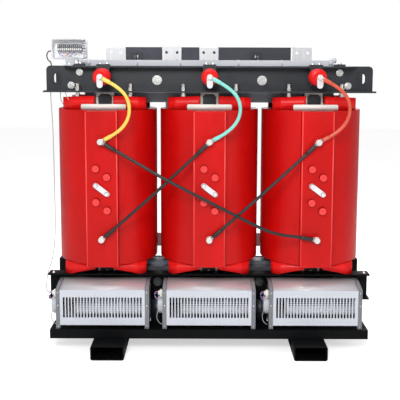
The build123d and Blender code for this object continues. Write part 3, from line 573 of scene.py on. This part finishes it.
# Blocks of a plug at a fan's left end: reach beyond the fan, height, size and bevel.
PLUG_BLOCKS = ((0.0062, 0.240, (0.0124, 0.020, 0.032), 0.0015), (0.0155, 0.243, (0.007, 0.014, 0.016), 0.001))
THIN_WIRE = 0.0022
MOTOR_WIRE = 0.003
# Wire routes at a fan's left end: reach beyond the fan, then depth where it changes, then height.
PLUG_LOOP = ((0.019, 0.246), (0.029, 0.249), (0.035, 0.236), (0.029, 0.222), (0.021, 0.214))
MOTOR_TAIL = ((0.020, 0.236, 0.166), (0.026, 0.238, 0.148), (0.024, 0.240, 0.128), (0.014, 0.240, 0.112),
              (0.004, 0.240, 0.108))


def fan_screws(screws, x, front):
    """Screws up both posts of a fan and round the end of its motor."""
    face_y = front * (FAN_FACE_Y - 0.0005)
    for side in SIDES:
        post_x = x + side * (FAN_HALF - POST_SCREW_INSET)
        for rise in POST_SCREW_RISES:
            screws.turned((post_x, face_y, FAN_BASE_Z + rise), (0, front, 0), pan_head(0.0024, 0.003), 16)
    for quarter in range(4):
        angle = math.radians(45 + 90 * quarter)
        y = front * FAN_AXIS_Y + MOTOR_BOLT_CIRCLE * math.cos(angle)
        z = FAN_AXIS_Z + MOTOR_BOLT_CIRCLE * math.sin(angle)
        screws.turned((x - FAN_HALF - MOTOR_BOLT_REACH, y, z), (-1, 0, 0), pan_head(0.0022, 0.004), 16)


def fan_wires(tag, x, front):
    """Pink and blue loops out of a fan's plug, and the grey tail of its motor."""
    end_x = x - FAN_HALF
    pink = [(end_x - reach, front * PLUG_Y, z) for reach, z in PLUG_LOOP]
    blue = [(px, py + front * 0.004, pz - 0.005) for px, py, pz in pink]
    tail = [(end_x - reach, front * y, z) for reach, y, z in MOTOR_TAIL]
    lead("fan_wire_pink_" + tag, pink, THIN_WIRE, WIRES["pink"])
    lead("fan_wire_blue_" + tag, blue, THIN_WIRE, WIRES["blue"])
    lead("fan_wire_grey_" + tag, tail, MOTOR_WIRE, WIRES["grey"])


def fan_fittings():
    """Post screws, motor bolts, connectors and their wires, the same at both rows of fans."""
    screws = Fittings()
    plugs = Fittings()
    for row, front in (("_front", -1), ("_rear", 1)):
        for letter, x in PHASES.items():
            fan_screws(screws, x, front)
            for reach, z, size, bevel in PLUG_BLOCKS:
                plugs.block((x - FAN_HALF - reach, front * PLUG_Y, z), size, bevel)
            fan_wires(letter + row, x, front)
    screws.done("fan_screws", FINISHES["zinc"], "zinc")
    plugs.done("fan_plugs", FINISHES["white_board"], "white_board")


LID_BACK_Y = 0.124
LID_FOLD_Y = 0.2020
# Outlines in Y and Z, as at the front row with Y turned round.
LID_OUTLINE = ((0.2670, 0.2622), (0.2670, 0.2632), (LID_FOLD_Y, 0.2776), (0.190, 0.2790),
               (LID_BACK_Y, 0.2808), (LID_BACK_Y, 0.2788), (0.190, 0.2770), (0.2019, 0.2768))
RAIL_OUTLINE = ((0.2675, 0.2625), (0.2675, 0.2650), (LID_FOLD_Y, 0.2795), (LID_BACK_Y, 0.2830),
                (LID_BACK_Y, 0.2760), (0.2015, 0.2765))
STAY_OUTLINE = ((0.1752, 0.0983), (0.1752, 0.1887), (0.118, 0.1887), (0.118, 0.1857), (0.1722, 0.1857),
                (0.1722, 0.0983))
LID_HALF = 0.175
RAIL_SPAN = (0.1752, 0.1918)
STAY_HALF = 0.0275


def fan_lids():
    """Outlet lids that run back under the clamp flange, their side rails, and black stays between fans."""
    lids = Fittings()
    rails = Fittings()
    stays = Fittings()
    for front in SIDES:
        for x in PHASES.values():
            lids.prism(facing(LID_OUTLINE, front), x - LID_HALF, x + LID_HALF)
            for side in SIDES:
                rails.prism(facing(RAIL_OUTLINE, front), *sorted(x + side * reach for reach in RAIL_SPAN))
        for x in (-PITCH / 2, PITCH / 2):
            stays.prism(facing(STAY_OUTLINE, front), x - STAY_HALF, x + STAY_HALF)
    lids.done("fan_lids", LID, "fan_aluminium")
    rails.done("fan_rails", POST, "fan_aluminium")
    stays.done("fan_stays", FINISHES["black_paint"], "black_paint")


BLADES = 28
# Section of a blade: radius, and angle ahead of the blade's own.
BLADE = ((0.0448, 0.0), (0.0405, 0.04), (0.0365, 0.11), (0.0357, 0.09), (0.0396, 0.015), (0.0440, -0.02))
ROTOR_START = -0.118
ROTOR_LENGTH = 0.283
SEGMENTS = 3
DISC_RADIUS = 0.0449
DISC_THICKNESS = 0.002
DRUM_SHAFT_RADIUS = 0.004
DRUM_SHADE_RADIUS = 0.034
SHADE_CLEARANCE = 0.001


def bladed_drum(x, front):
    """Curved blades in a ring, carried by discs."""
    drum = Fittings()
    centre_y = front * FAN_AXIS_Y
    for index in range(BLADES):
        polar = [(radius, 2 * math.pi * index / BLADES + ahead) for radius, ahead in BLADE]
        outline = [
            (centre_y + front * radius * math.cos(angle), FAN_AXIS_Z + radius * math.sin(angle))
            for radius, angle in polar
        ]
        drum.prism(outline, x + ROTOR_START, x + ROTOR_START + ROTOR_LENGTH)
    for step in range(SEGMENTS + 1):
        disc_x = x + ROTOR_START + (ROTOR_LENGTH - DISC_THICKNESS) * step / SEGMENTS
        disc = [(0, DISC_RADIUS), (DISC_THICKNESS, DISC_RADIUS)]
        drum.turned((disc_x, centre_y, FAN_AXIS_Z), (1, 0, 0), disc, 40)
    return drum


def drum_shaft_and_shade(node, x, front):
    """Shaft as long as the solid impeller, and a black cylinder in the middle of its drum, as painted shade
    in the hollow.
    """
    low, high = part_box(node)
    centre_y = front * FAN_AXIS_Y
    shaft = [(0, DRUM_SHAFT_RADIUS), (high[0] - low[0], DRUM_SHAFT_RADIUS)]
    middle = [(0, DRUM_SHADE_RADIUS), (ROTOR_LENGTH - 2 * SHADE_CLEARANCE, DRUM_SHADE_RADIUS)]
    core = Fittings()
    core.turned((low[0], centre_y, FAN_AXIS_Z), (1, 0, 0), shaft, 20)
    core.turned((x + ROTOR_START + SHADE_CLEARANCE, centre_y, FAN_AXIS_Z), (1, 0, 0), middle, 40)
    return core


def impellers():
    """Drums of curved blades between discs, each on its own turning body."""
    for row, front in (("front_", -1), ("rear_", 1)):
        for letter, x in PHASES.items():
            tag = row + letter
            node = "impeller_" + tag
            body = node + "_body"
            drum_shaft_and_shade(node, x, front).done("drum_shaft_and_shade_" + tag, SHADED_BLACK, "black_paint", body)
            piece = bladed_drum(x, front).done("drum_" + tag, ROTOR, "fan_aluminium", body)
            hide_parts(node)


# Coil fittings -----------------------------------------------------------------------------------
CLAMP_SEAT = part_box("lower_clamp_front")[1][2]
BLOCK_BACK = 0.100
BLOCK_JOINT = 0.0003
BLOCK_SLICES = 16
# Front edge of a support block in plan: distance from the coil's middle in X, then in Y.
LOWER_PLAN = ((0.0385, 0.193), (0.138, 0.169), (0.172, 0.141), (0.1722, 0.1006))
UPPER_PLAN = ((0.0400, 0.150), (0.141, 0.141), (0.174, 0.116), (0.1742, 0.1006))
REAR_GAP = 0.052
ARCH_FOOT = 0.150
ARCH_RISE = 0.030
UPPER_HEIGHT = 0.0560
UPPER_FALL = 0.0060


def front_depth(plan, across):
    """How far a support block reaches in Y at a distance from its coil's middle."""
    for near, far in zip(plan, plan[1:]):
        if across <= far[0]:
            share = (across - near[0]) / (far[0] - near[0])
            return near[1] + (far[1] - near[1]) * share
    return plan[-1][1]


def lower_levels(across):
    """Arched underside that stands on the clamp at its outer foot, and a top at the coil."""
    share = max(0.0, (ARCH_FOOT - across) / (ARCH_FOOT - LOWER_PLAN[0][0]))
    return CLAMP_SEAT + ARCH_RISE * share ** 0.8, COIL_BOTTOM - BLOCK_JOINT


def upper_levels(across):
    """Underside flat on the coil, and a top that falls towards the outside."""
    share = (across - UPPER_PLAN[0][0]) / (UPPER_PLAN[-1][0] - UPPER_PLAN[0][0])
    return COIL_TOP + BLOCK_JOINT, COIL_TOP + UPPER_HEIGHT - UPPER_FALL * share


def support_block(fittings, x, side, front, inner, plan, levels):
    """One resin block round the end of a coil, built from slices across X."""
    width = plan[-1][0] - inner
    stations = {inner + width * step / BLOCK_SLICES for step in range(BLOCK_SLICES + 1)}
    rings = []
    for across in sorted(stations | {plan[1][0], plan[2][0]}):
        bottom, top = levels(across)
        depth = front_depth(plan, across)
        corners = ((depth, top), (depth, bottom), (BLOCK_BACK, bottom), (BLOCK_BACK, top))
        rings.append([(x + side * across, front * y, z) for y, z in corners])
    fittings.skin(rings)


def support_blocks():
    """Arched blocks under the coils and sloped blocks on them, in place of the plain solid ones."""
    lower = Fittings()
    upper = Fittings()
    for x in PHASES.values():
        for side in SIDES:
            support_block(lower, x, side, -1, LOWER_PLAN[0][0], LOWER_PLAN, lower_levels)
            support_block(upper, x, side, -1, UPPER_PLAN[0][0], UPPER_PLAN, upper_levels)
            support_block(lower, x, side, 1, REAR_GAP, LOWER_PLAN, lower_levels)
            support_block(upper, x, side, 1, REAR_GAP, UPPER_PLAN, upper_levels)
    piece = lower.done("arched_blocks", FINISHES["block_red"], "block_red")
    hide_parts("lower_coil_blocks")
    piece = upper.done("sloped_blocks", FINISHES["block_red"], "block_red")
    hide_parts("upper_coil_blocks")


BAR_SIZE = (0.186, 0.0115, 0.0226)
BAR_Y = -0.1562


def spacer_bars():
    """White bars with rounded edges, on top of the coils."""
    bars = Fittings()
    for x in PHASES.values():
        bars.block((x, BAR_Y, COIL_TOP + 0.0115), BAR_SIZE, 0.003)
    piece = bars.done("round_edged_bars", FINISHES["white_board"], "white_board")
    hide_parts("spacer_bars")


TERMINAL_CAP_Y = -0.2712
TERMINAL_CAP = [(0, 0.0124), (0.003, 0.0126), (0.005, 0.0105)]


def terminal_caps():
    """Turned caps on the coil terminals."""
    caps = Fittings()
    for x in PHASES.values():
        for z in (TOP_TERMINAL_Z, BOTTOM_TERMINAL_Z):
            caps.turned((x, TERMINAL_CAP_Y, z), FORWARD, TERMINAL_CAP, 28)
    caps.done("terminal_caps", PLATED, "zinc")


TAP_ROWS = 6
LINKED_ROWS = (2, 3)
FIRST_TAP_Z = 0.590
TAP_STEP = 0.0345
TAP_OFFSET = 0.0225
TAP_FACE_Y = -BOSS_Y - 0.0022
TAP_HEX_Y = -BOSS_Y - 0.0064
LINK_BOLT = [(0, 0.0078), (0.0035, 0.0076), (0.005, 0.0062)]
TAP_COLLAR = [(0, 0.0156), (0.0102, 0.0152)]
TAP_FACE = [(0, 0.0146), (0.003, 0.0144), (0.0042, 0.0132)]
TAP_HEX = [(0, 0.0060), (0.003, 0.0058), (0.004, 0.0045)]


def tap_places():
    """Tap studs of all coils, lowest first, and whether a link joins them."""
    for x in PHASES.values():
        for row in range(TAP_ROWS):
            side = -1 if row % 2 else 1
            yield x + side * TAP_OFFSET, FIRST_TAP_Z + row * TAP_STEP, row in LINKED_ROWS


def tap_fittings():
    """Faces and collars of the free taps, and the bolts of the links. The collars' dark red is painted shade
    round the tap faces.
    """
    link_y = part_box("tap_links")[0][1]
    faces = Fittings()
    collars = Fittings()
    whites = Fittings()
    for x, z, linked in tap_places():
        if linked:
            whites.turned((x, link_y - PROUD, z), FORWARD, LINK_BOLT, 20)
            continue
        collars.turned((x, -HV_PAD_Y - PROUD, z), FORWARD, TAP_COLLAR, 28)
        faces.turned((x, TAP_FACE_Y, z), FORWARD, TAP_FACE, 28)
        faces.turned((x, TAP_HEX_Y, z), FORWARD, TAP_HEX, 6)
    piece = faces.done("tap_faces", CAP_RED_AND_EDGE_HIGHLIGHT, "block_red")
    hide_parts("tap_bolts")
    collars.done("tap_collars", COLLAR_SHADE, "block_red")
    whites.done("link_bolts", LINK_WHITE, "bar_aluminium")


PAD_EDGE_X = 0.0624
PAD_EDGE_RADIUS = 0.0031
PAD_EDGE_INSET = 0.004


def pad_edge_highlights():
    """Rounded edges down both sides of the coils' front pads, in a lighter red that is a painted highlight.
    """
    edges = Fittings()
    bead = [(0, PAD_EDGE_RADIUS), (COIL_TOP - COIL_BOTTOM - 2 * PAD_EDGE_INSET, PAD_EDGE_RADIUS)]
    edge_y = -HV_PAD_Y + 0.0026
    for x in PHASES.values():
        for side in SIDES:
            edges.turned((x + side * PAD_EDGE_X, edge_y, COIL_BOTTOM + PAD_EDGE_INSET), UP, bead, 16)
    edges.done("pad_edge_highlights", CAP_RED_AND_EDGE_HIGHLIGHT, "coil_resin")


# Top fittings ------------------------------------------------------------------------------------
CLAMP_TOP = 1.179
LOWER_FLANGE_TOP = 0.299
BRACKET_BOLT_OFFSET = 0.014
BRACKET_BOLT_Y = -0.143
BOX_BOLT = (-0.585, -0.13)
TIE_BOLT_X = 0.5385
FLANGE_BOLT_X = 0.662
END_BOLT_Y = 0.142
BEAM_ARM_XS = (-0.341, 0.224)
BEAM_ARM_Z = 1.222
BEAM_ARM_BOLT = [(0, 0.011), (0.002, 0.011), (0.002, 0.0092), (0.009, 0.0092), (0.010, 0.008)]
SHED_PITCH = 0.020
SHED = [(0, 0.0300), (0.002, 0.0345), (0.009, 0.0345), (0.013, 0.0290)]
DUCT_Y = -0.117
DUCT_CAP_X = 0.503
DUCT_STRAP_XS = (-0.30, -0.12, 0.12, 0.30)
DUCT_STOPPER = [(0, 0.011), (0.012, 0.0115), (0.019, 0.009), (0.022, 0.004)]


def top_bolts():
    """Bolts of the brackets, cross ties, lower flanges, junction box and low-voltage beam arms."""
    bolts = Fittings()
    for x in PHASES.values():
        for side in SIDES:
            place = (x + side * BRACKET_BOLT_OFFSET, BRACKET_BOLT_Y, CLAMP_TOP + 0.006)
            bolts.turned(place, UP, pan_head(0.0055, 0.008), 20)
    for side in SIDES:
        for y in (-END_BOLT_Y, END_BOLT_Y):
            bolts.turned((side * TIE_BOLT_X, y, CLAMP_TOP + 0.008), UP, pan_head(0.0065, 0.009), 20)
            bolts.turned((side * FLANGE_BOLT_X, y, LOWER_FLANGE_TOP), UP, pan_head(0.006, 0.009), 20)
    bolts.turned((*BOX_BOLT, CLAMP_TOP + 0.004), UP, pan_head(0.006, 0.008), 20)
    arm_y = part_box("lv_beam")[0][1] - 0.008
    for x in BEAM_ARM_XS:
        bolts.turned((x, arm_y, BEAM_ARM_Z), FORWARD, BEAM_ARM_BOLT, 24)
    bolts.done("top_bolts", FINISHES["zinc"], "zinc")


def insulator_sheds():
    """Ribs round the high-voltage insulators, counted from the clamp outwards."""
    sheds = Fittings()
    seat_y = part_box("hv_insulators")[1][1]
    for x in PHASES.values():
        for step in range(3):
            sheds.turned((x, seat_y - 0.004 - step * SHED_PITCH, INSULATOR_Z), FORWARD, SHED, 32)
    sheds.done("insulator_sheds", FINISHES["block_red"], "block_red")


def duct_ends():
    """End caps and straps of the wiring duct, and the stopper at its right end."""
    ends = Fittings()
    for side in SIDES:
        ends.block((side * DUCT_CAP_X, DUCT_Y, CLAMP_TOP + 0.0125), (0.026, 0.0275, 0.0275), 0.004)
    ends.turned((0.5155, DUCT_Y, CLAMP_TOP + 0.014), (0.15, 0, 1), DUCT_STOPPER)
    for x in DUCT_STRAP_XS:
        ends.block((x, DUCT_Y, CLAMP_TOP + 0.0122), (0.010, 0.0262, 0.0262), 0.002)
    ends.done("duct_ends", FINISHES["duct_grey"], "duct_grey")


CONDUIT_RINGS = 14
CONDUIT_RADIUS = 0.034
CONDUIT_FLATTENING = 0.55
CONDUIT_RING = [(-0.0016, 0.0082), (-0.0006, 0.0098), (0.0008, 0.0098), (0.0018, 0.0082)]


def flexible_conduit():
    """Ribbed conduit that bends up from the left end of the duct, ring by ring."""
    conduit = Fittings()
    start = Vector((-0.514, DUCT_Y, CLAMP_TOP + 0.013))
    for step in range(CONDUIT_RINGS):
        angle = math.radians(90 * step / (CONDUIT_RINGS - 1))
        rise = CONDUIT_RADIUS * (1 - math.cos(angle)) * CONDUIT_FLATTENING
        centre = start + Vector((-CONDUIT_RADIUS * math.sin(angle), 0.010 * step / CONDUIT_RINGS, rise))
        conduit.turned(centre, (-math.cos(angle), 0, math.sin(angle)), CONDUIT_RING, 20)
    conduit.done("flexible_conduit", FINISHES["duct_grey"], "duct_grey")


# Junction box and sensor wires -------------------------------------------------------------------
STRIP_WAYS = 12
STRIP_SCREW = [(0, 0.0024), (0.0012, 0.0024), (0.0016, 0.0016)]
BOX_WIRE = 0.0024
SENSOR_WIRE = 0.0035
LATTICE_BARS = 6
LATTICE_PITCH = 0.011
BOX_WIRE_COLOURS = ("blue", "pink", "grey", "red", "blue", "grey")
strip_low, strip_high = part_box("terminal_strip")
box_low, box_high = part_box("box_base")
STRIP_PITCH = (strip_high[0] - strip_low[0]) / STRIP_WAYS


def strip_fittings():
    """A screw and a marker on every way of the terminal strip."""
    screws = Fittings()
    markers = Fittings()
    face_y = strip_low[1]
    for way in range(STRIP_WAYS):
        x = strip_low[0] + (way + 0.5) * STRIP_PITCH
        screws.turned((x, face_y - PROUD, strip_low[2] + 0.021), FORWARD, STRIP_SCREW, 12)
        markers.block((x, face_y - 0.0006, strip_low[2] + 0.007), (STRIP_PITCH * 0.7, 0.0016, 0.009), 0.0004)
    screws.done("strip_screws", FINISHES["zinc"], "zinc")
    markers.done("strip_markers", FINISHES["white_board"], "white_board")


def box_lattice():
    """Ladder of small bars at the right of the junction box."""
    lattice = Fittings()
    y = box_high[1] - 0.012
    for row in range(LATTICE_BARS):
        z = box_low[2] + 0.012 + row * LATTICE_PITCH
        lattice.block((box_high[0] - 0.012, y, z), (0.014, 0.012, 0.004), 0.0008)
    lattice.block((box_high[0] - 0.0045, y, box_low[2] + 0.04), (0.002, 0.010, 0.066), 0.0004)
    lattice.done("box_lattice", FINISHES["box_white"], "duct_grey")


def box_wires():
    """Wires from every second way of the strip to the floor of the box, drawn in towards its middle."""
    y = strip_low[1] + 0.004
    strip_z = strip_low[2]
    floor_z = box_low[2] + 0.0045
    for index, colour in enumerate(BOX_WIRE_COLOURS):
        x = strip_low[0] + (index * 2 + 0.5) * STRIP_PITCH
        shift = 0.010 if index < 3 else -0.010
        points = [
            (x, y, strip_z - 0.0012),
            (x, y - 0.014, strip_z - 0.006),
            (x + shift, y - 0.018, floor_z + 0.010),
            (x + 2 * shift, y - 0.006, floor_z + 0.004),
            (x + 2.4 * shift, y + 0.002, floor_z),
        ]
        lead("box_wire_" + str(index), points, BOX_WIRE, WIRES[colour])


def sensor_wires():
    """Thin wires at the left end, from under the upper clamp to the coil and down to the fans."""
    under = 1.069
    routes = {
        "sensor_wire_a": [
            (-0.622, -0.130, under),
            (-0.624, -0.128, under - 0.020),
            (-0.622, -0.112, under - 0.040),
            (-0.612, -0.096, COIL_TOP + 0.012),
            (-0.600, -0.088, COIL_TOP + 0.002),
        ],
        "sensor_wire_b": [
            (-0.600, -0.140, under),
            (-0.596, -0.140, under - 0.018),
            (-0.584, -0.134, under - 0.036),
            (-0.574, -0.124, COIL_TOP + 0.014),
            (-0.568, -0.112, COIL_TOP + 0.002),
        ],
        "sensor_wire_long": [
            (-0.664, -0.125, under),
            (-0.665, -0.118, under - 0.04),
            (-0.666, -0.085, 0.94),
            (-0.666, -0.075, 0.70),
            (-0.664, -0.080, 0.45),
            (-0.672, -0.120, 0.345),
            (-0.684, -0.156, 0.312),
            (-0.687, -0.170, 0.276),
            (-0.684, -0.200, 0.244),
            (-0.668, -0.230, 0.240),
            (-0.6512, -0.238, 0.243),
        ],
    }
    for name, points in routes.items():
        lead(name, points, SENSOR_WIRE, WIRES["grey"])


# Stage -------------------------------------------------------------------------------------------
FLOOR_GLOW = 0.55
WORLD_LIGHT = 0.45
LENS = 66.54
LENS_SHIFT = (-0.0071, -0.1178)
CAMERA_PLACE = (-0.0273, -3.223, 1.176)
CAMERA_TILT = 6.65
CAMERA_ROLL = 0.18
# Name, place, target, size in metres, power in watts.
LIGHTS = (
    ("key", (-0.5, -3.7, 2.7), (0, 0, 0.6), (1.2, 1.2), 107),
    ("fill", (2.4, -2.4, 1.6), (0.2, 0, 0.6), (1.2, 2.0), 12),
    ("left edge", (-2.8, -0.9, 1.5), (-0.3, 0, 0.6), (0.8, 2.0), 2.5),
    ("top", (0, 0.2, 3.4), (0, 0, 0.8), (2.4, 1.8), 40),
    ("back", (0.6, 3.2, 2.2), (0, 0, 0.7), (2.4, 1.6), 34),
)


def area_light(name, place, target, size, power):
    data = bpy.data.lights.new(name, "AREA")
    data.shape = "RECTANGLE"
    data.size, data.size_y = size
    data.energy = power
    light = bpy.data.objects.new(name, data)
    light.location = place
    light.rotation_euler = (Vector(target) - Vector(place)).to_track_quat("-Z", "Y").to_euler()
    bpy.context.collection.objects.link(light)


def make_world():
    """White to the camera and through clear plastic, softer as a light."""
    world = bpy.data.worlds.new("studio")
    world.use_nodes = True
    tree = world.node_tree
    background = tree.nodes["Background"]
    rays = tree.nodes.new("ShaderNodeLightPath").outputs
    seen = maths(tree, "MAXIMUM", rays["Is Camera Ray"], rays["Is Transmission Ray"])
    tree.links.new(ranged(tree, seen, WORLD_LIGHT, 1.0, (0, 1)), background.inputs["Strength"])
    background.inputs["Color"].default_value = (1, 1, 1, 1)
    bpy.context.scene.world = world


def glowing_floor():
    """Pale floor that reads as the white backdrop and keeps the soft contact shadow."""
    material = surface("pale floor", (0.9, 0.9, 0.9), 0.8, mottle=0.01, mottle_scale=2, bump=0.02,
                       specular=0.1)
    tree, shader, _ = parts_of(material)
    rays = tree.nodes.new("ShaderNodeLightPath").outputs
    glow = maths(tree, "MULTIPLY", rays["Is Camera Ray"], FLOOR_GLOW)
    shader.inputs["Emission Color"].default_value = (1, 1, 1, 1)
    tree.links.new(glow, shader.inputs["Emission Strength"])
    return material


def make_floor():
    """Pale seamless floor, fading to the white of the background."""
    data = bpy.data.meshes.new("floor")
    shape = bmesh.new()
    bmesh.ops.create_grid(shape, x_segments=1, y_segments=1, size=9.0)
    shape.to_mesh(data)
    shape.free()
    floor = bpy.data.objects.new("floor", data)
    floor.location = (0, 2.0, -0.0005)
    bpy.context.collection.objects.link(floor)
    data.materials.append(glowing_floor())


def make_camera():
    data = bpy.data.cameras.new("camera")
    data.sensor_width = 36.0
    data.lens = LENS
    data.shift_x, data.shift_y = LENS_SHIFT
    camera = bpy.data.objects.new("camera", data)
    camera.location = CAMERA_PLACE
    tilt = Matrix.Rotation(math.radians(90 - CAMERA_TILT), 4, "X")
    roll = Matrix.Rotation(math.radians(CAMERA_ROLL), 4, "Z")
    camera.rotation_euler = (tilt @ roll).to_euler()
    bpy.context.collection.objects.link(camera)
    bpy.context.scene.camera = camera


def make_stage():
    make_world()
    make_floor()
    make_camera()
    for light in LIGHTS:
        area_light(*light)
    bpy.context.scene.view_settings.view_transform = "Standard"


dress_frame()
phase_leads()
delta_leads()
box_cable()
fan_fittings()
fan_lids()
spacer_bars()
support_blocks()
terminal_caps()
tap_fittings()
pad_edge_highlights()
impellers()
top_bolts()
insulator_sheds()
duct_ends()
flexible_conduit()
strip_fittings()
box_lattice()
box_wires()
sensor_wires()
make_stage()
